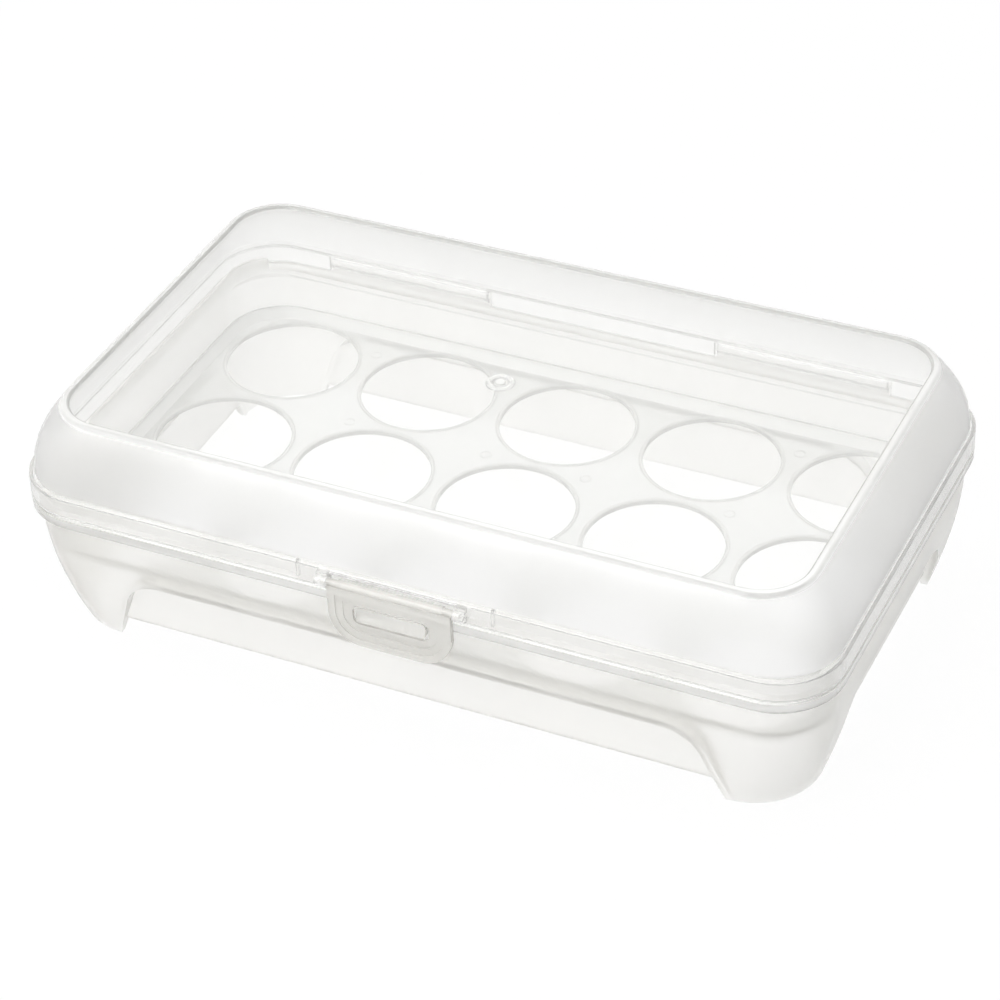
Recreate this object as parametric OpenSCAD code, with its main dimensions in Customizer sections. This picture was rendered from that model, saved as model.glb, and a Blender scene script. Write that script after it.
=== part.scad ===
// Egg keeper with a flip lid, moulded in natural polypropylene.
// Stands on the XY plane with Z up, its front and latch towards -Y.
// The origin is the centre of the base on the surface it stands on.

/* [Egg tray] */
// Egg holes along the length
egg_cols = 5; // [2:1:6]
// Egg holes along the depth
egg_rows = 3; // [2:1:4]
// Diameter of an egg hole
hole_d = 40.6; // [32:0.1:50]
// Web between holes along the length
web_l = 5.65; // [2:0.05:12]
// Web between holes along the depth
web_w = 3.6; // [2:0.05:12]
// Thickness of the tray plate
tray_t = 1.3; // [1:0.1:2]
// Width of the sloped border round the plate
ramp_w = 2.6; // [1.5:0.1:5]
// Height that the sloped border climbs
ramp_h = 3.2; // [1:0.1:5]
// Gap between the tray and the wall it drops into
tray_gap = 0.3; // [0.2:0.05:0.8]

/* [Base] */
// From the outermost hole's edge to the flange edge, along the length
edge_l = 9.1; // [8.6:0.1:20]
// From the outermost hole's edge to the flange edge, along the depth
edge_w = 7.1; // [6.6:0.1:20]
// Corner radius of the base and the flange
corner_r = 19; // [14:0.5:26]
// Wall thickness of the base
base_t = 1.5; // [1.2:0.1:2]
// Height of the base up to the top of its flange
rim_z = 43.3; // [36:0.1:60]
// Height of the ledge that carries the tray
ledge_z = 25.1; // [20:0.1:28]
// Thickness of that ledge
ledge_t = 1.2; // [1:0.1:2]
// How far the wall draws in from flange to foot, along the length
draw_l = 6.7; // [3:0.1:9]
// How far the wall draws in from flange to foot, along the depth
draw_w = 5.6; // [3:0.1:9]
// How far the flange stands out from the wall
flange_out = 1.7; // [1:0.1:3]
// Height of the flange edge
flange_h = 3.8; // [2:0.1:5]
// Height of the lip that locates the lid
lip_h = 4; // [2:0.1:5]
// Gap between the foot line and the skirts between the legs
skirt_z = 6; // [4.5:0.1:10]
// How far the skirts stand back from the foot line
skirt_in = 0.4; // [0:0.1:4]
// Lean of the legs' edges from upright, in degrees
leg_lean = 20; // [5:1:30]
// Radius at the top of the arches between the legs
arch_r = 12; // [6:0.5:15]

/* [Lid] */
// Wall thickness of the lid
lid_t = 1.4; // [1.2:0.1:2]
// Gap between the flange and the lid's skirt at rest
seat_gap = 0.3; // [0.2:0.05:0.6]
// Height of the lid's skirt
skirt_h = 6.4; // [6:0.1:10]
// Height of the lid above its skirt, up to the top panel
dome_h = 20.4; // [14:0.1:40]
// How far the shoulder draws in along the length
shoulder_l = 7.4; // [3:0.1:12]
// How far the shoulder draws in along the depth
shoulder_w = 5.5; // [3:0.1:12]
// Step from the skirt in to the shoulder's foot
step_in = 1.3; // [1:0.1:2]
// Width of the bead round the top panel
bead_w = 3.7; // [3:0.1:6]
// Height of the bead above the top panel
bead_h = 0.8; // [0.4:0.1:2]
// Height of the bead above the shoulder outside it
bead_rise = 2.1; // [1.5:0.1:4]
// Width of the bead's rounded outer flank
flank_w = 2.2; // [1.5:0.1:2.5]
// Diameter of the gate mark on the panel
gate_d = 3.8; // [2.4:0.1:5]
// Height of the gate mark
gate_h = 0.4; // [0.2:0.1:0.6]
// From the latch's middle to each rib inside the skirt
rib_x = 29.2; // [26:0.1:60]
// Thickness of those ribs
rib_t = 0.8; // [0.6:0.1:1.2]

/* [Hinge] */
// Length of each of the two hinges
hinge_len = 54; // [30:1:56]
// From the flange's end to the outer end of a hinge
hinge_inset = 30.9; // [24:0.1:40]
// Diameter of the hinge bead on the base
bead_d = 2.6; // [2:0.1:3.2]
// Running clearance round the hinge bead
hinge_gap = 0.1; // [0.05:0.01:0.2]
// Thickness of the snap channel round the bead
channel_t = 1.3; // [1:0.1:1.4]
// Largest opening angle of the lid, in degrees
lid_open = 110; // [60:1:115]

/* [Latch] */
// Width of the latch flap
latch_w = 37; // [24:0.5:50]
// Length of the flap below its pivot
latch_drop = 18.2; // [15:0.1:26]
// Thickness of the flap
latch_t = 1.8; // [1.5:0.1:2.5]
// Radius of the flap's lower corners
latch_r = 10; // [4:0.5:13]
// Width of each of the two steps down to the flap's dished face
border_w = 2.2; // [1.5:0.1:3]
// Depth of each of those steps
border_step = 0.4; // [0.2:0.1:0.5]
// From the flap's edge to the end of its barrel
barrel_in = 2.8; // [1:0.1:5]
// Length of the slot in the flap
slot_l = 22.8; // [14:0.1:28]
// Height of the slot in the flap
slot_h = 6; // [5:0.1:8]
// Corner radius of the slot
slot_r = 2; // [1.6:0.1:2.4]
// Clearance between the slot and the lug it hooks over
lug_gap = 0.8; // [0.4:0.1:1.2]
// Diameter of the pivot pins
pin_d = 2.2; // [1.6:0.1:2.7]
// Running clearance round the pivot pins
pin_gap = 0.1; // [0.05:0.01:0.2]

/* [Hidden] */

// Small radii of edges, and the gaps left round parts that don't touch
edge_r = 0.5;
skirt_r = 0.6;
crest_r = 0.4;
step_rise = 0.3;
notch_gap = 0.4;

// Overall half sizes at the flange, set by the grid of eggs
pitch_l = hole_d + web_l;
pitch_w = hole_d + web_w;
half_l = (egg_cols - 1) / 2 * pitch_l + hole_d / 2 + edge_l;
half_w = (egg_rows - 1) / 2 * pitch_w + hole_d / 2 + edge_w;

// Levels of the lid, counted up from the base's flange
skirt_bot = rim_z + seat_gap;
skirt_top = skirt_bot + skirt_h;
panel_z = skirt_top + dome_h;
crest_z = panel_z + bead_h;
bead_z = crest_z - bead_rise;

// Base wall at the flange, and the radius of its bulge
wall_l = half_l - flange_out;
wall_w = half_w - flange_out;
wall_top = rim_z - flange_h;
foot_l = wall_l - draw_l;
foot_w = wall_w - draw_w;
foot_r = corner_r + 0.6;
foot_gap = 0.4;
bulge_l = (wall_top * wall_top + draw_l * draw_l) / (2 * draw_l);
bulge_w = (wall_top * wall_top + draw_w * draw_w) / (2 * draw_w);
arch_z = ledge_z - ledge_t;
arch_l = foot_l - foot_r - foot_gap;
arch_w = foot_w - foot_r - foot_gap;
lip_step = 0.7;
lip_out = base_t + flange_out + lip_step;

// Hinge axis: the bead stands on a web, and the web on a pad of the flange
bead_r = bead_d / 2;
channel_r = bead_r + hinge_gap + channel_t;
web_t = 0.8;
pad_t = 2.4;
pad_edge = 1.4;
// Angles from +Y where the channel's mouth starts and ends: clear of the
// web when shut, and clear of it again when the lid is fully open
web_half = asin(web_t / 2 / (bead_r + hinge_gap));
mouth_low = -90 - web_half - 2.4;
mouth_high = lid_open - 90 + web_half + 4.4;
proud = 2.8;
hinge_y = half_w + proud - channel_r * cos(mouth_high);
hinge_z = rim_z + channel_r + notch_gap;
hinge_x = half_l - hinge_inset - hinge_len / 2;
neck_in = 1.5;

// Latch axis: the flap hangs in a notch in the lid's skirt
barrel_r = pin_d / 2 + 0.3;
ear_r = barrel_r + 0.5;
latch_y = -(half_w + proud - ear_r);
latch_z = skirt_top - lid_t - barrel_r - notch_gap;
face_y = latch_y - ear_r;
ear_t = 3.4;
ear_end = latch_w / 2 + notch_gap + ear_t + 0.5;
pin_len = 2.2;
slot_drop = 8.3;
slot_z = latch_z - slot_drop;
lug_l = slot_l - 2 * lug_gap - 0.4;
lug_h = slot_h - 2 * lug_gap;
dish_top = 2.6;
root_top = skirt_top - skirt_r;

// Counts of faces round the shells
corner_steps = 10;
tray_steps = 7;
wall_steps = 10;
dome_steps = 9;
flank_steps = 4;
eps = 0.01;

// How far the wall has drawn in from its top at height z
function drawn(z, bulge) = z >= wall_top ? 0 : bulge - sqrt(bulge * bulge - pow(wall_top - z, 2));

// Corner points of one rounded rectangle at height z, counter-clockwise
function ring(hl, hw, r, z, steps) = [
    for (q = [0:3], i = [0:steps])
        let (a = 90 * (q + i / steps))
        let (sx = (q == 0 || q == 3) ? 1 : -1)
        let (sy = q < 2 ? 1 : -1)
        [sx * (hl - r) + r * cos(a), sy * (hw - r) + r * sin(a), z]
];

// Solid lofted through rings, each [half length, half depth, radius, z].
// It is capped at both ends, or joined end to end into a closed band.
module loft(rings, band = false, steps = corner_steps) {
    n = 4 * (steps + 1);
    m = len(rings);
    points = [for (s = rings) each ring(s[0], s[1], s[2], s[3], steps)];
    last = band ? m - 1 : m - 2;
    sides = [
        for (k = [0:last], i = [0:n - 1])
            let (a = k * n + i)
            let (b = k * n + (i + 1) % n)
            let (c = ((k + 1) % m) * n + (i + 1) % n)
            let (d = ((k + 1) % m) * n + i)
            [a, b, c, d]
    ];
    low = [for (i = [0:n - 1]) n - 1 - i];
    high = [for (i = [0:n - 1]) (m - 1) * n + i];
    all_faces = band ? sides : concat(sides, [low, high]);
    polyhedron(points, [for (f = all_faces) [for (i = [len(f) - 1:-1:0]) f[i]]]);
}

module rounded_rect(hl, hw, r) {
    square([2 * (hl - r), 2 * hw], center = true);
    square([2 * hl, 2 * (hw - r)], center = true);
    for (x = [-1, 1], y = [-1, 1])
        translate([x * (hl - r), y * (hw - r)])
            circle(r, $fn = 72);
}

// Rings of the bulged wall from z_low to its top, moved in by a wall thickness
function wall_rings(inset, z_low) = [
    for (i = [0:wall_steps])
        let (z = z_low + (wall_top - z_low) * i / wall_steps)
        [
            wall_l - drawn(z, bulge_l) - inset,
            wall_w - drawn(z, bulge_w) - inset,
            corner_r + (foot_r - corner_r) * (1 - z / wall_top) - inset,
            z
        ]
];

// Ring that stands in from the flange's edge by one distance all round
function edge_ring(in, z) = [half_l - in, half_w - in, corner_r - in, z];

// Outside of the base: bulged wall, flange and locating lip
module outside_solid() {
    loft(concat(
        wall_rings(0, 0),
        [
            edge_ring(edge_r, wall_top),
            edge_ring(0, wall_top + edge_r),
            edge_ring(0, rim_z - edge_r),
            edge_ring(edge_r, rim_z),
            edge_ring(lip_out, rim_z),
            edge_ring(lip_out, rim_z + lip_h - edge_r),
            edge_ring(lip_out + edge_r, rim_z + lip_h)
        ]
    ));
}

// Inside of the base, a wall thickness in from its outside
module inside_solid() {
    loft(concat(
        wall_rings(base_t, -1),
        [
            edge_ring(lip_out + base_t, rim_z - base_t),
            edge_ring(lip_out + base_t, rim_z + lip_h + 1)
        ]
    ));
}

// Half outline of an arch between two legs, then mirrored.
// The edge leans in as it rises and turns over into a flat top.
function arch_half(foot, top, grow) =
    let (r = arch_r + grow)
    let (zt = top - arch_r + arch_r * sin(leg_lean))
    let (xc = foot - tan(leg_lean) * zt - arch_r * cos(leg_lean))
    concat(
        [[foot + grow / cos(leg_lean) + tan(leg_lean) * 2, -2]],
        [
            for (i = [0:6])
                let (a = leg_lean + (90 - leg_lean) * i / 6)
                [xc + r * cos(a), top - arch_r + r * sin(a)]
        ]
    );

module arch_outline(foot, grow, top) {
    half = arch_half(foot, top, grow);
    n = len(half);
    polygon(concat(half, [for (i = [n - 1:-1:0]) [-half[i][0], half[i][1]]]));
}

// Recesses between the legs, grown by a wall thickness for the inside
module recesses(grow, top) {
    reach = 20;
    for (s = [0, 180]) {
        rotate([0, 0, s])
            translate([0, -(foot_w - skirt_in - grow), 0])
                rotate([90, 0, 0])
                    linear_extrude(reach)
                        arch_outline(arch_l, grow, top);
        rotate([0, 0, s])
            translate([foot_l - skirt_in - grow, 0, 0])
                rotate([90, 0, 90])
                    linear_extrude(reach)
                        arch_outline(arch_w, grow, top);
    }
}

// Openings under the skirts, from leg to leg in both directions
module under_skirts() {
    intersection() {
        union() {
            rotate([90, 0, 0])
                linear_extrude(4 * half_w, center = true)
                    arch_outline(arch_l, 0, arch_z);
            rotate([90, 0, 90])
                linear_extrude(4 * half_l, center = true)
                    arch_outline(arch_w, 0, arch_z);
        }
        translate([-2 * half_l, -2 * half_w, -5])
            cube([4 * half_l, 4 * half_w, 5 + skirt_z]);
    }
}

// One hinge bead on its web and pad, centred on x = 0
module hinge_bead() {
    translate([-hinge_len / 2, hinge_y, hinge_z])
        rotate([0, 90, 0])
            cylinder(h = hinge_len, r = bead_r, $fn = 48);
    translate([-hinge_len / 2, hinge_y - web_t / 2, rim_z - 1])
        cube([hinge_len, web_t, hinge_z - rim_z + 1]);
    translate([-hinge_len / 2, wall_w, rim_z - pad_t])
        cube([hinge_len, hinge_y + pad_edge - wall_w, pad_t]);
}

// Lug on the front wall that the latch hooks over. Its nose slopes back
// towards the top, and its corners follow the slot's.
module latch_lug() {
    tip_y = face_y + 0.2;
    root_y = -wall_w + base_t / 2;
    slope = 1.2;
    intersection() {
        translate([-lug_l / 2, 0, slot_z])
            rotate([90, 0, 90])
                linear_extrude(lug_l)
                    polygon([
                        [root_y, -lug_h / 2],
                        [tip_y + edge_r, -lug_h / 2],
                        [tip_y, -lug_h / 2 + edge_r],
                        [tip_y + slope, lug_h / 2],
                        [root_y, lug_h / 2]
                    ]);
        translate([0, root_y, slot_z])
            rotate([90, 0, 0])
                linear_extrude(root_y - tip_y)
                    rounded_rect(lug_l / 2, lug_h / 2, slot_r - lug_gap);
    }
}

module base() {
    color("#e9ece8") {
        difference() {
            difference() {
                outside_solid();
                recesses(0, arch_z);
            }
            difference() {
                inside_solid();
                recesses(base_t, ledge_z - base_t);
            }
            under_skirts();
            // Lip left out along the back, where the lid's skirt turns over it
            translate([-half_l, half_w - lip_out - base_t - 2, rim_z])
                cube([2 * half_l, 20, 20]);
        }
        for (s = [-1, 1])
            translate([s * hinge_x, 0, 0])
                hinge_bead();
        latch_lug();
    }
}

// Plate with the egg holes and a border that climbs to the wall
module egg_tray() {
    out_l = wall_l - drawn(ledge_z, bulge_l) - base_t - tray_gap;
    out_w = wall_w - drawn(ledge_z, bulge_w) - base_t - tray_gap;
    out_r = corner_r + (foot_r - corner_r) * (1 - ledge_z / wall_top) - base_t - tray_gap;
    top = ledge_z + tray_t;
    rim_t = 0.6;
    color("#dfe3df") {
        difference() {
            translate([0, 0, ledge_z])
                linear_extrude(tray_t)
                    rounded_rect(out_l - ramp_w + eps, out_w - ramp_w + eps, out_r - ramp_w + eps);
            for (i = [0:egg_cols - 1], j = [0:egg_rows - 1])
                translate([
                    (i - (egg_cols - 1) / 2) * pitch_l,
                    (j - (egg_rows - 1) / 2) * pitch_w,
                    ledge_z - 1
                ])
                    cylinder(h = tray_t + 2, d = hole_d, $fn = 96);
        }
        loft([
            [out_l - ramp_w, out_w - ramp_w, out_r - ramp_w, ledge_z],
            [out_l - rim_t, out_w - rim_t, out_r - rim_t, ledge_z + ramp_h - 0.4],
            [out_l, out_w, out_r, ledge_z + ramp_h],
            [out_l, out_w, out_r, top + ramp_h],
            [out_l - rim_t, out_w - rim_t, out_r - rim_t, top + ramp_h],
            [out_l - ramp_w, out_w - ramp_w, out_r - ramp_w, top]
        ], band = true, steps = tray_steps);
    }
}

// Lid shell: rings from the panel's underside down the inside, round the
// skirt's bottom edge and up the outside to the panel's top
module lid_shell() {
    foot_z = skirt_top + step_rise;
    rise = bead_z - foot_z;
    top_l = half_l - step_in - shoulder_l;
    top_w = half_w - step_in - shoulder_w;
    top_r = corner_r - 2;
    // Ring of the shoulder at a share of its rise, moved in by t.
    // The shoulder draws in with the square of its height.
    function shoulder(f, t) =
        let (tilt = atan(f * (shoulder_l + shoulder_w) / rise))
        let (draw = f * f)
        [
            half_l - step_in - shoulder_l * draw - t * cos(tilt),
            half_w - step_in - shoulder_w * draw - t * cos(tilt),
            corner_r - (corner_r - top_r) * draw - t * cos(tilt),
            foot_z + rise * f - t * sin(tilt)
        ];
    function in_from_bead(d, z) = [top_l - d, top_w - d, top_r - d, z];
    loft(concat(
        [
            in_from_bead(bead_w, panel_z - lid_t),
            in_from_bead(flank_w - 0.3, panel_z - lid_t)
        ],
        [for (i = [dome_steps:-1:0]) shoulder(i / dome_steps, lid_t)],
        [
            edge_ring(lid_t, skirt_top - lid_t),
            edge_ring(lid_t, skirt_bot),
            edge_ring(0, skirt_bot),
            edge_ring(0, skirt_top - skirt_r),
            edge_ring(skirt_r, skirt_top)
        ],
        [for (i = [0:dome_steps]) shoulder(i / dome_steps, 0)],
        [
            for (i = [1:flank_steps])
                let (f = i / flank_steps)
                in_from_bead(flank_w * f, bead_z + bead_rise * sin(90 * f))
        ],
        [
            in_from_bead(bead_w - 2 * crest_r, crest_z),
            in_from_bead(bead_w - crest_r, crest_z - crest_r / 2),
            in_from_bead(bead_w, panel_z)
        ]
    ));
}

// One snap channel of the lid, centred on x = 0.
// Its mouth starts at the base's web and leaves room for the full opening.
module hinge_channel() {
    len = hinge_len - 1;
    translate([-len / 2, hinge_y, hinge_z])
        rotate([90, 0, 90])
            linear_extrude(len)
                difference() {
                    union() {
                        circle(channel_r, $fn = 64);
                        translate([-neck_in - lid_t, 0])
                            square([neck_in + lid_t, root_top - hinge_z]);
                    }
                    circle(bead_r + hinge_gap, $fn = 64);
                    polygon(concat(
                        [[0, 0]],
                        [
                            for (i = [0:6])
                                let (a = mouth_low + (mouth_high - mouth_low) * i / 6)
                                8 * [cos(a), sin(a)]
                        ]
                    ));
                }
}

// Ears beside the notch, bored for the latch's pins
module latch_ears() {
    for (s = [-1, 1])
        translate([s * (latch_w / 2 + notch_gap + ear_t / 2), latch_y, latch_z])
            rotate([0, 90, 0])
                translate([0, 0, -ear_t / 2])
                    linear_extrude(ear_t) {
                        circle(ear_r, $fn = 48);
                        translate([-(root_top - latch_z), -0.4])
                            square([root_top - latch_z, -latch_y - half_w + lid_t + 0.4]);
                        translate([-(root_top - latch_z), 0])
                            square([root_top - latch_z + barrel_r, -latch_y - half_w + lid_t]);
                    }
}

// Short ribs inside the skirt on both sides of the latch
module skirt_ribs() {
    reach = 1.2;
    for (s = [-1, 1])
        translate([s * rib_x - rib_t / 2, -half_w + lid_t / 2, skirt_bot + rib_t])
            cube([rib_t, lid_t / 2 + reach, skirt_h - rib_t - lid_t / 2]);
}

module lid() {
    color("#eef1ee") {
        difference() {
            union() {
                difference() {
                    lid_shell();
                    // Skirt cut away over the hinges
                    for (s = [-1, 1])
                        translate([s * hinge_x - hinge_len / 2 - 0.5, half_w - lid_t - 1, skirt_bot - 1])
                            cube([hinge_len + 1, 10, skirt_top - lid_t - skirt_bot + 1]);
                    // Notch for the latch
                    translate([-latch_w / 2 - notch_gap, -half_w - 5, skirt_bot - 1])
                        cube([latch_w + 2 * notch_gap, 5 + lid_t + 0.5, skirt_top - lid_t - skirt_bot + 1]);
                }
                for (s = [-1, 1])
                    translate([s * hinge_x, 0, 0])
                        hinge_channel();
                latch_ears();
                skirt_ribs();
            }
            translate([-ear_end, latch_y, latch_z])
                rotate([0, 90, 0])
                    cylinder(h = 2 * ear_end, d = pin_d + 2 * pin_gap, $fn = 48);
        }
        // Gate mark left in the middle of the panel
        translate([0, 0, panel_z - 0.2])
            cylinder(h = gate_h + 0.2, d1 = gate_d, d2 = gate_d - 1.2, $fn = 32);
    }
}

// Flap outline below the pivot: square at the top, large round corners below
module flap_outline(inset) {
    w = latch_w / 2 - inset;
    low = -latch_drop + inset;
    r = latch_r - inset;
    translate([-w, low + r])
        square([2 * w, -low - r - inset]);
    translate([-w + r, low])
        square([2 * (w - r), r + eps]);
    for (s = [-1, 1])
        intersection() {
            translate([s * (w - r), low + r])
                circle(r, $fn = 64);
            translate([-w, low])
                square([2 * w, r]);
        }
}

module latch() {
    color("#d9ded9")
        translate([0, 0, latch_z]) {
            difference() {
                union() {
                    translate([0, face_y + latch_t, 0])
                        rotate([90, 0, 0])
                            linear_extrude(latch_t)
                                flap_outline(0);
                    translate([-latch_w / 2 + barrel_in, latch_y, 0])
                        rotate([0, 90, 0])
                            cylinder(h = latch_w - 2 * barrel_in, r = barrel_r, $fn = 48);
                }
                // Face dished in two steps, below the barrel
                for (k = [1, 2])
                    translate([0, face_y + k * border_step, 0])
                        rotate([90, 0, 0])
                            linear_extrude(2)
                                intersection() {
                                    flap_outline(k * border_w);
                                    translate([-latch_w, -latch_drop])
                                        square([2 * latch_w, latch_drop - dish_top]);
                                }
                // Slot for the lug
                translate([0, face_y + latch_t + 1, slot_z - latch_z])
                    rotate([90, 0, 0])
                        linear_extrude(latch_t + 4)
                            rounded_rect(slot_l / 2, slot_h / 2, slot_r);
            }
            // Pin through the barrel, standing out at both ends
            translate([0, latch_y, 0])
                rotate([0, 90, 0])
                    cylinder(h = latch_w + 2 * pin_len, d = pin_d, center = true, $fn = 48);
        }
}

base();
egg_tray();
lid();
latch();
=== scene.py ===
import math

import bmesh
import bpy
import numpy as np
from mathutils import Matrix


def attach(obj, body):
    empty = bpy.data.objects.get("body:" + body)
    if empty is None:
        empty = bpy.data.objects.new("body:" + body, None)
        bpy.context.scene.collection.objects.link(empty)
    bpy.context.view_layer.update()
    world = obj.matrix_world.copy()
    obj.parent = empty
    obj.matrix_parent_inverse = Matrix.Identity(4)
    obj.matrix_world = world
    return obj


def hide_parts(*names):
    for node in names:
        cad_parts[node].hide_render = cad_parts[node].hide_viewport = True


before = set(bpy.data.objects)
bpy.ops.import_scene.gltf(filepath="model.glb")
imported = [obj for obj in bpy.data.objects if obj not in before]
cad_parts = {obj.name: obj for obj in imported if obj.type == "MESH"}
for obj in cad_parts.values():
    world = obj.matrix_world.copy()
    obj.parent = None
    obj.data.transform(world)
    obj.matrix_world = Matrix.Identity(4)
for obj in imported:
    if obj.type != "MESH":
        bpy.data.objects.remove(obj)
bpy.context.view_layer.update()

# Egg keeper with a flip lid, moulded in natural polypropylene: a milky box on
# corner legs, a holed tray, a domed lid with a clear top panel and a latch.
# Sizes are in millimetres and angles in degrees, unless a note says otherwise.

mm = 0.001


def srgb(hexText):
    channels = np.array([int(hexText[i:i + 2], 16) for i in (1, 3, 5)]) / 255
    linear = np.where(channels <= 0.04045, channels / 12.92, ((channels + 0.055) / 1.055) ** 2.4)
    return (*linear.tolist(), 1.0)


def addNode(tree, kind, settings=None, inputs=None, links=None):
    # Attributes come from settings, socket values from inputs, and links
    # holds {input socket: output socket of another node}.
    node = tree.nodes.new(kind)
    for name, value in (settings or {}).items():
        setattr(node, name, value)
    for name, value in (inputs or {}).items():
        node.inputs[name].default_value = value
    for name, source in (links or {}).items():
        tree.links.new(source, node.inputs[name])
    return node


def mixShaders(tree, factor, first, second):
    # The first shader where the factor is 0, the second where it is 1
    return addNode(tree, "ShaderNodeMixShader", links={0: factor, 1: first, 2: second}).outputs[0]


def newMaterial(name):
    material = bpy.data.materials.new(name)
    material.use_nodes = True
    material.node_tree.nodes.clear()
    return material, material.node_tree


# Natural polypropylene, injection moulded. Clouds and grain are drawn coarser
# than the real ones, so that they show at arm's length.
# Spark-eroded mould wall: a satin that blurs what lies behind it
satin = dict(
    ior=1.49, clear="#ffffff",
    shade="#f2f2f2",  # what one face lets through of a lamp's light
    milk="#f8f6f0", cloud="#f0efea",  # the milk's two tints
    # painted shade: the edge tint is a darker grey that stands in for the dark edge lines
    edge="#cbcac6",  # its tint where the wall is seen edge-on
    haze=0.26, edgeHaze=0.5,  # share of milk, face on and edge-on
    edgeStart=0.72,  # where edge-on begins, from 0 face on to 1 grazing
    roughness=0.3,  # blurs what shows through the wall
    gloss=0.12, glossSpread=0.1,  # roughness of its surface, least and range
    flow=34, flowDetail=2.0, flowRoughness=0.45,  # clouds
    grain=2.2, grainDetail=1.0, grainRoughness=0.4,  # surface texture
    grainDepth=0.2, ripple=0.03,
)
# Lid walls in the same satin: whiter and a little clearer than the box
lidFinish = dict(satin, milk="#f6f5f3", cloud="#eeeeec", haze=0.2, roughness=0.34)
# Polished mould wall: the top panel is clear, with sharp reflections
polished = dict(
    satin, milk="#f4f4f1", cloud="#ececea", haze=0.18, edgeHaze=0.25,
    roughness=0.02, ripple=0.0, gloss=0.03,
)
# Smoother mould wall: the tray is a calm pale grey with clean edges, its grey painted shade for the
# lid above it
trayShade = dict(satin, milk="#e6e6e3", cloud="#dfe0dd", haze=0.36, roughness=0.14)
# Thick flap and lug: more plastic to look through, so greyer and denser
latchFinish = dict(satin, milk="#dedcd6", cloud="#d6d5d0", haze=0.4, roughness=0.2)
# Painted shade on moulded edges: grey lines round holes, feet and rims
rimShade = dict(
    satin, milk="#cacac6", cloud="#c2c2be", edge="#a8a8a4",
    haze=0.62, edgeHaze=0.85, roughness=0.14,
)
# The lid's stepped skirt: bright face on, with painted shade, a soft grey, where it turns away
skirtShade = dict(lidFinish, edgeHaze=0.6, edge="#acaca8", roughness=0.12)
# The rolled bead: a white line round the panel, partly thick plastic seen along its curve and
# partly painted highlight;
# the gate mark shares it, partly whitened where the sprue broke off and partly a painted glint
beadHighlight = dict(
    satin, milk="#fbfbf9", cloud="#f6f6f4", edge="#d4d4d1",
    haze=0.5, edgeHaze=0.7, roughness=0.12,
)
# Painted shade on the flange's solid edge: a grey line between box and lid
flangeShade = dict(
    satin, milk="#cdcdca", cloud="#c4c4c1", edge="#a8a8a4",
    haze=0.42, edgeHaze=0.7, roughness=0.12,
)

colourA, colourB, colourOut = 6, 7, 2  # the Mix node's colour sockets


def polypropylene(name, look):
    # Clear plastic with a share of milk in it. The share grows where the wall
    # is seen edge-on, because more plastic lies in the line of sight there. There
    # the milk also turns a darker grey: painted shade for the dark edge lines.
    material, tree = newMaterial(name)
    place = addNode(tree, "ShaderNodeTexCoord")
    flow = addNode(tree, "ShaderNodeTexNoise",
                   inputs={"Scale": 1 / (look["flow"] * mm), "Detail": look["flowDetail"],
                           "Roughness": look["flowRoughness"]},
                   links={"Vector": place.outputs["Object"]})
    grain = addNode(tree, "ShaderNodeTexNoise",
                    inputs={"Scale": 1 / (look["grain"] * mm), "Detail": look["grainDetail"],
                            "Roughness": look["grainRoughness"]},
                    links={"Vector": place.outputs["Object"]})
    facing = addNode(tree, "ShaderNodeLayerWeight", inputs={"Blend": 0.5})
    edgeOn = addNode(tree, "ShaderNodeMapRange",
                     inputs={"From Min": look["edgeStart"], "From Max": 1.0,
                             "To Min": 0.0, "To Max": 1.0},
                     links={"Value": facing.outputs["Facing"]})
    milkTint = addNode(tree, "ShaderNodeMix", settings={"data_type": "RGBA"},
                       inputs={colourA: srgb(look["milk"]), colourB: srgb(look["cloud"])},
                       links={"Factor": flow.outputs["Fac"]})
    # Painted shade: the milk darkens towards the edge tint where the wall is seen edge-on
    edgeShadeTint = addNode(tree, "ShaderNodeMix", settings={"data_type": "RGBA"},
                       inputs={colourB: srgb(look["edge"])},
                       links={"Factor": edgeOn.outputs["Result"],
                              colourA: milkTint.outputs[colourOut]})
    share = addNode(tree, "ShaderNodeMapRange",
                    inputs={"To Min": look["haze"], "To Max": look["edgeHaze"]},
                    links={"Value": edgeOn.outputs["Result"]})
    sheen = addNode(tree, "ShaderNodeMapRange",
                    inputs={"To Min": look["gloss"], "To Max": look["gloss"] + look["glossSpread"]},
                    links={"Value": flow.outputs["Fac"]})
    bump = addNode(tree, "ShaderNodeBump",
                   inputs={"Strength": look["ripple"], "Distance": look["grainDepth"] * mm},
                   links={"Height": grain.outputs["Fac"]})
    glass = addNode(tree, "ShaderNodeBsdfPrincipled",
                    inputs={"Base Color": srgb(look["clear"]), "IOR": look["ior"],
                            "Transmission Weight": 1.0, "Roughness": look["roughness"]})
    milk = addNode(tree, "ShaderNodeBsdfPrincipled", inputs={"IOR": look["ior"]},
                   links={"Base Color": edgeShadeTint.outputs[colourOut],
                          "Normal": bump.outputs["Normal"],
                          "Roughness": sheen.outputs["Result"]})
    wall = mixShaders(tree, share.outputs["Result"], glass.outputs["BSDF"], milk.outputs["BSDF"])
    # Lamps shine through the walls, losing a little at each face
    path = addNode(tree, "ShaderNodeLightPath")
    passing = addNode(tree, "ShaderNodeBsdfTransparent", inputs={"Color": srgb(look["shade"])})
    surface = mixShaders(tree, path.outputs["Is Shadow Ray"], wall, passing.outputs[0])
    addNode(tree, "ShaderNodeOutputMaterial", links={"Surface": surface})
    return material


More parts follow.
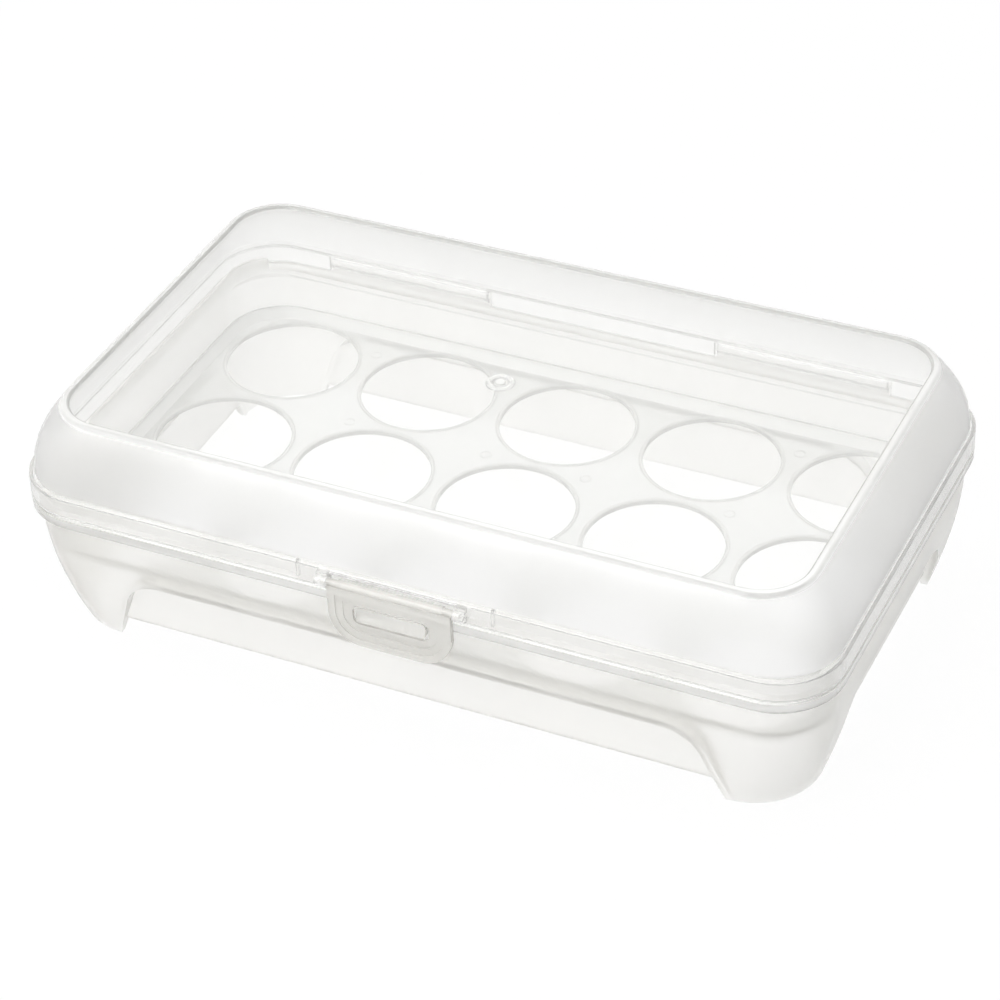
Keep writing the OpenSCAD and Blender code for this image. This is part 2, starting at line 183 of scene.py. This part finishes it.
satinPP = polypropylene("polypropylene_satin_moulded", satin)
lidPP = polypropylene("polypropylene_lid_moulded", lidFinish)
clearPP = polypropylene("polypropylene_clear_polished", polished)
trayShadePP = polypropylene("polypropylene_tray_painted_shade", trayShade)
latchPP = polypropylene("polypropylene_latch_moulded", latchFinish)
rimShadePP = polypropylene("polypropylene_rim_painted_shade", rimShade)
skirtShadePP = polypropylene("polypropylene_skirt_painted_shade", skirtShade)
flangeShadePP = polypropylene("polypropylene_flange_painted_shade", flangeShade)
beadHighlightPP = polypropylene("polypropylene_bead_painted_highlight", beadHighlight)
print("materials made")


def smoothMesh(name, points, faces, materials, repair):
    # A mesh that is shaded smooth, once repair has put its faces in order
    mesh = bpy.data.meshes.new(name)
    mesh.from_pydata(points, [], faces)
    for material in materials:
        mesh.materials.append(material)
    work = bmesh.new()
    work.from_mesh(mesh)
    repair(work)
    for face in work.faces:
        face.smooth = True
    work.to_mesh(mesh)
    work.free()
    return mesh


def linkPiece(name, mesh):
    piece = bpy.data.objects.new(name, mesh)
    bpy.context.scene.collection.objects.link(piece)
    return piece


# Moulded shells: the construction's own walls, welded, softened at the edges
shell = dict(weldGap=0.002, flatAngle=0.3, crease=30, edgeSegments=2)


def weldWalls(work):
    bmesh.ops.remove_doubles(work, verts=work.verts, dist=shell["weldGap"] * mm)
    bmesh.ops.dissolve_limit(work, angle_limit=math.radians(shell["flatAngle"]),
                             verts=work.verts, edges=work.edges)


def smoothShell(name, node, body, materials, softEdge):
    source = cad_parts[node].data
    points = np.empty(len(source.vertices) * 3)
    source.vertices.foreach_get("co", points)
    faces = [face.vertices for face in source.polygons]
    mesh = smoothMesh(name, points.reshape(-1, 3), faces, materials, weldWalls)
    mesh.set_sharp_from_angle(angle=math.radians(shell["crease"]))
    piece = linkPiece(name, mesh)
    soften = piece.modifiers.new("soft_edges", "BEVEL")
    soften.width = softEdge * mm
    soften.segments = shell["edgeSegments"]
    soften.limit_method = "ANGLE"
    soften.angle_limit = math.radians(shell["crease"])
    even = piece.modifiers.new("even_shading", "WEIGHTED_NORMAL")
    even.keep_sharp = True
    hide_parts(node)
    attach(piece, body)
    return piece


# How far a face's normal leans along z: level, looking down, or upright
lean = dict(level=0.95, down=-0.9, upright=0.3)


def facePlaces(piece):
    # Centres of all faces and their normals, each as columns x, y, z
    polygons = piece.data.polygons
    centres, normals = np.empty(len(polygons) * 3), np.empty(len(polygons) * 3)
    polygons.foreach_get("center", centres)
    polygons.foreach_get("normal", normals)
    return centres.reshape(-1, 3).T / mm, normals.reshape(-1, 3).T


def between(values, low, high):
    return (values > low) & (values < high)


def paintFaces(piece, chosen, material):
    index = list(piece.data.materials).index(material)
    current = np.empty(len(piece.data.polygons), dtype=np.int32)
    piece.data.polygons.foreach_get("material_index", current)
    painted = np.where(chosen, index, current).astype(np.int32)
    piece.data.polygons.foreach_set("material_index", painted)


baseShell = dict(
    softEdge=0.2,
    footTop=8, flangeUnder=37,  # rims that look down lie outside these heights
    flange=(39, 43.4), halfLength=120.5, halfDepth=70.2, hingeSide=71.8,
    cornerX=102.9, cornerY=52.6, cornerRadius=17.8,
    lugHalfWidth=9, lugFront=-71.7, lug=(30, 40),
)

base = smoothShell("base_shell", "base", "base",
                   [satinPP, rimShadePP, latchPP, flangeShadePP], baseShell["softEdge"])
(x, y, z), (nx, ny, nz) = facePlaces(base)
# Painted shade: lower rims of the skirts and feet, and the flange's underside, in grey
paintFaces(base, (nz < lean["down"])
           & ((z < baseShell["footTop"]) | (z > baseShell["flangeUnder"])), rimShadePP)
# Painted shade: the flange's upright edge below the lid, outside a rounded rectangle, in grey
outwards = (abs(nz) < lean["upright"]) & (nx * x + ny * y > 0)
corner = np.hypot(abs(x) - baseShell["cornerX"], abs(y) - baseShell["cornerY"])
flangeShadeEdge = ((abs(x) > baseShell["halfLength"]) | (abs(y) > baseShell["halfDepth"])
              | (corner > baseShell["cornerRadius"]))
paintFaces(base, outwards & flangeShadeEdge & between(z, *baseShell["flange"])
           & (y < baseShell["hingeSide"]), flangeShadePP)
# The lug in the latch's slot is as milky as the latch
paintFaces(base, (abs(x) < baseShell["lugHalfWidth"]) & (y < baseShell["lugFront"])
           & between(z, *baseShell["lug"]), latchPP)

trayPlate = dict(softEdge=0.5, halfLength=113, halfDepth=64.8)

tray = smoothShell("egg_tray_plate", "egg_tray", "base",
                   [trayShadePP, rimShadePP], trayPlate["softEdge"])
(x, y, z), (nx, ny, nz) = facePlaces(tray)
# Painted shade in grey on the walls of the egg holes, but not the tray's outer wall
paintFaces(tray, (abs(nz) < lean["upright"]) & (abs(x) < trayPlate["halfLength"])
           & (abs(y) < trayPlate["halfDepth"]), rimShadePP)

lidShell = dict(
    softEdge=0.2,
    panelHalfLength=109.45, panelHalfDepth=61.05, panel=(68.4, 70.6),
    beadBottom=70.2, innerWallBottom=70.3, skirtTop=51.3, rimTop=44.5,
)

lid = smoothShell("lid_shell", "lid", "lid",
                  [lidPP, clearPP, rimShadePP, beadHighlightPP, skirtShadePP], lidShell["softEdge"])
(x, y, z), (nx, ny, nz) = facePlaces(lid)
# The flat top panel is clear above and below
panel = ((abs(x) < lidShell["panelHalfLength"]) & (abs(y) < lidShell["panelHalfDepth"])
         & between(z, *lidShell["panel"]) & (abs(nz) > lean["level"]))
paintFaces(lid, panel, clearPP)
# Painted highlight: the bead round it and the gate mark in its middle stand out in white
paintFaces(lid, ~panel & (z > lidShell["beadBottom"]), beadHighlightPP)
# Painted shade: the bead's inner wall in grey draws the thin dark line round the panel
inwards = (nx * x + ny * y < 0) & (nz > 0) & (abs(nz) < lean["level"])
paintFaces(lid, inwards & (z > lidShell["innerWallBottom"]), rimShadePP)
# The skirt, with painted shade where it turns away, and the rim below it in painted shade
paintFaces(lid, z < lidShell["skirtTop"], skirtShadePP)
paintFaces(lid, (nz < lean["down"]) & (z < lidShell["rimTop"]), rimShadePP)

latchFlap = dict(softEdge=0.2)

smoothShell("latch_flap", "latch", "latch", [latchPP], latchFlap["softEdge"])
print("moulded shells made")


# Rings: rounded rims of the egg holes, ejector marks on the tray between them
# and the swell round the gate mark. A ring's section is half a wave,
# height * (1 + cos(pi * u)) / 2 for u from -1 to 1 across its width.
section = dict(across=9, sunk=0.1)  # points over the wave, depth in the plate


def ringSurface(centre, ring):
    # Closed tube of quads: the wave on top, a flat underside sunk in the plate
    turn = np.linspace(0, 2 * np.pi, ring["around"], endpoint=False)
    u = np.linspace(-1, 1, section["across"])
    wave = ring["height"] * (1 + np.cos(np.pi * u)) / 2
    radius = ring["radius"] + ring["width"] / 2 * np.concatenate([u, u[::-1]])
    height = np.concatenate([wave, np.full(len(u), -section["sunk"])])
    x = centre[0] + np.outer(np.cos(turn), radius)
    y = centre[1] + np.outer(np.sin(turn), radius)
    z = ring["level"] + np.outer(np.ones(len(turn)), height)
    count = len(radius)
    i, j = np.meshgrid(np.arange(len(turn)), np.arange(count), indexing="ij")
    nextI, nextJ = (i + 1) % len(turn), (j + 1) % count
    faces = np.stack([i * count + j, nextI * count + j,
                      nextI * count + nextJ, i * count + nextJ], axis=-1)
    return np.stack([x, y, z], axis=-1).reshape(-1, 3), faces.reshape(-1, 4)


def turnOutwards(work):
    bmesh.ops.recalc_face_normals(work, faces=work.faces)


def makeRings(name, places, ring, material, body):
    points, faces, start = [], [], 0
    for centre in places:
        ringPoints, ringFaces = ringSurface(centre, ring)
        points.append(ringPoints)
        faces.append(ringFaces + start)
        start += len(ringPoints)
    mesh = smoothMesh(name, (np.concatenate(points) * mm).tolist(),
                      np.concatenate(faces).tolist(), [material], turnOutwards)
    piece = linkPiece(name, mesh)
    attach(piece, body)


holeRims = dict(
    columns=(-92.5, -46.25, 0.0, 46.25, 92.5), rows=(-44.2, 0.0, 44.2),
    radius=20.95, width=1.1, height=0.2, level=26.4, around=96,
)
# The hole rims and ejector marks take the tray's painted shade grey
makeRings("tray_hole_rims", [(x, y) for x in holeRims["columns"] for y in holeRims["rows"]],
          holeRims, trayShadePP, "base")

# Each place stands for four, mirrored in both middle planes of the tray
ejectorMarks = dict(
    places=((16, 21), (61, 21), (69.4, 56)),
    radius=1.6, width=0.4, height=0.1, level=26.4, around=32,
)
makeRings("tray_ejector_marks",
          [(sideX * x, sideY * y) for x, y in ejectorMarks["places"]
           for sideY in (1, -1) for sideX in (-1, 1)],
          ejectorMarks, trayShadePP, "base")

gateSwell = dict(place=(0, 0), radius=3.3, width=1.8, height=0.2, level=70.4, around=48)
makeRings("panel_gate_swell", [gateSwell["place"]], gateSwell, clearPP, "lid")
print("rings made")


# Camera at the photograph's angle
view = dict(
    azimuth=26.12, elevation=36.55, roll=-2.39, place=(321.5, -659.1, 573.2),
    lens=114.24, sensor=36, nearest=10,
)


def makeCamera():
    data = bpy.data.cameras.new("camera")
    data.lens = view["lens"]
    data.sensor_width = view["sensor"]
    data.clip_start = view["nearest"] * mm
    camera = bpy.data.objects.new("camera", data)
    turn = (Matrix.Rotation(math.radians(view["azimuth"]), 4, "Z")
            @ Matrix.Rotation(math.radians(90 - view["elevation"]), 4, "X")
            @ Matrix.Rotation(math.radians(view["roll"]), 4, "Z"))
    camera.matrix_world = Matrix.Translation([v * mm for v in view["place"]]) @ turn
    bpy.context.scene.collection.objects.link(camera)
    bpy.context.scene.camera = camera


# Square soft lamps, in metres and watts: a strong one from the left, a weak
# one from the right and a broad one overhead
lamps = dict(
    key=dict(place=(-0.8, -1.2, 1.2), size=1.4, power=16),
    fill=dict(place=(1.2, -0.8, 0.9), size=1.2, power=2),
    top=dict(place=(0.0, 0.3, 1.7), size=1.6, power=10),
)


def makeLamps():
    for name, lamp in lamps.items():
        data = bpy.data.lights.new(name, "AREA")
        data.shape = "SQUARE"
        data.size = lamp["size"]
        data.energy = lamp["power"]
        light = bpy.data.objects.new(name, data)
        light.location = lamp["place"]
        aim = -light.location
        light.rotation_euler = aim.to_track_quat("-Z", "Y").to_euler()
        bpy.context.scene.collection.objects.link(light)


# White surroundings: pure white where they are looked at, a softer light on
# the box, and a paper floor that keeps the box's shadow. Its size is in metres.
surround = dict(
    white="#ffffff", skyFill=0.6, floorColour="#f8f8f8", floorWhite=0.9, floorSize=6.0,
)


def seenDirectly(tree):
    # One where a ray comes from the camera, a gloss or a see-through wall
    path = addNode(tree, "ShaderNodeLightPath")
    first = addNode(tree, "ShaderNodeMath", settings={"operation": "MAXIMUM"},
                    links={0: path.outputs["Is Camera Ray"], 1: path.outputs["Is Glossy Ray"]})
    both = addNode(tree, "ShaderNodeMath", settings={"operation": "MAXIMUM"},
                   links={0: first.outputs[0], 1: path.outputs["Is Transmission Ray"]})
    return both.outputs[0]


def makeWorld():
    world = bpy.data.worlds.new("studio")
    bpy.context.scene.world = world
    world.use_nodes = True
    tree = world.node_tree
    tree.nodes.clear()
    strength = addNode(tree, "ShaderNodeMapRange",
                       inputs={"To Min": surround["skyFill"], "To Max": 1.0},
                       links={"Value": seenDirectly(tree)})
    sky = addNode(tree, "ShaderNodeBackground", inputs={"Color": srgb(surround["white"])},
                  links={"Strength": strength.outputs["Result"]})
    addNode(tree, "ShaderNodeOutputWorld", links={"Surface": sky.outputs["Background"]})


def makeFloor():
    half = surround["floorSize"] / 2
    corners = [(-half, -half, 0), (half, -half, 0), (half, half, 0), (-half, half, 0)]
    mesh = bpy.data.meshes.new("floor")
    mesh.from_pydata(corners, [], [(0, 1, 2, 3)])
    material, tree = newMaterial("white_paper_floor")
    share = addNode(tree, "ShaderNodeMath", settings={"operation": "MULTIPLY"},
                    inputs={1: surround["floorWhite"]}, links={0: seenDirectly(tree)})
    paper = addNode(tree, "ShaderNodeBsdfDiffuse",
                    inputs={"Color": srgb(surround["floorColour"])})
    white = addNode(tree, "ShaderNodeEmission",
                    inputs={"Color": srgb(surround["white"]), "Strength": 1.0})
    surface = mixShaders(tree, share.outputs[0], paper.outputs[0], white.outputs[0])
    addNode(tree, "ShaderNodeOutputMaterial", links={"Surface": surface})
    mesh.materials.append(material)
    floor = linkPiece("floor", mesh)


makeCamera()
makeLamps()
makeWorld()
makeFloor()
bpy.context.scene.view_settings.view_transform = "Standard"
print("camera, lamps and floor made")
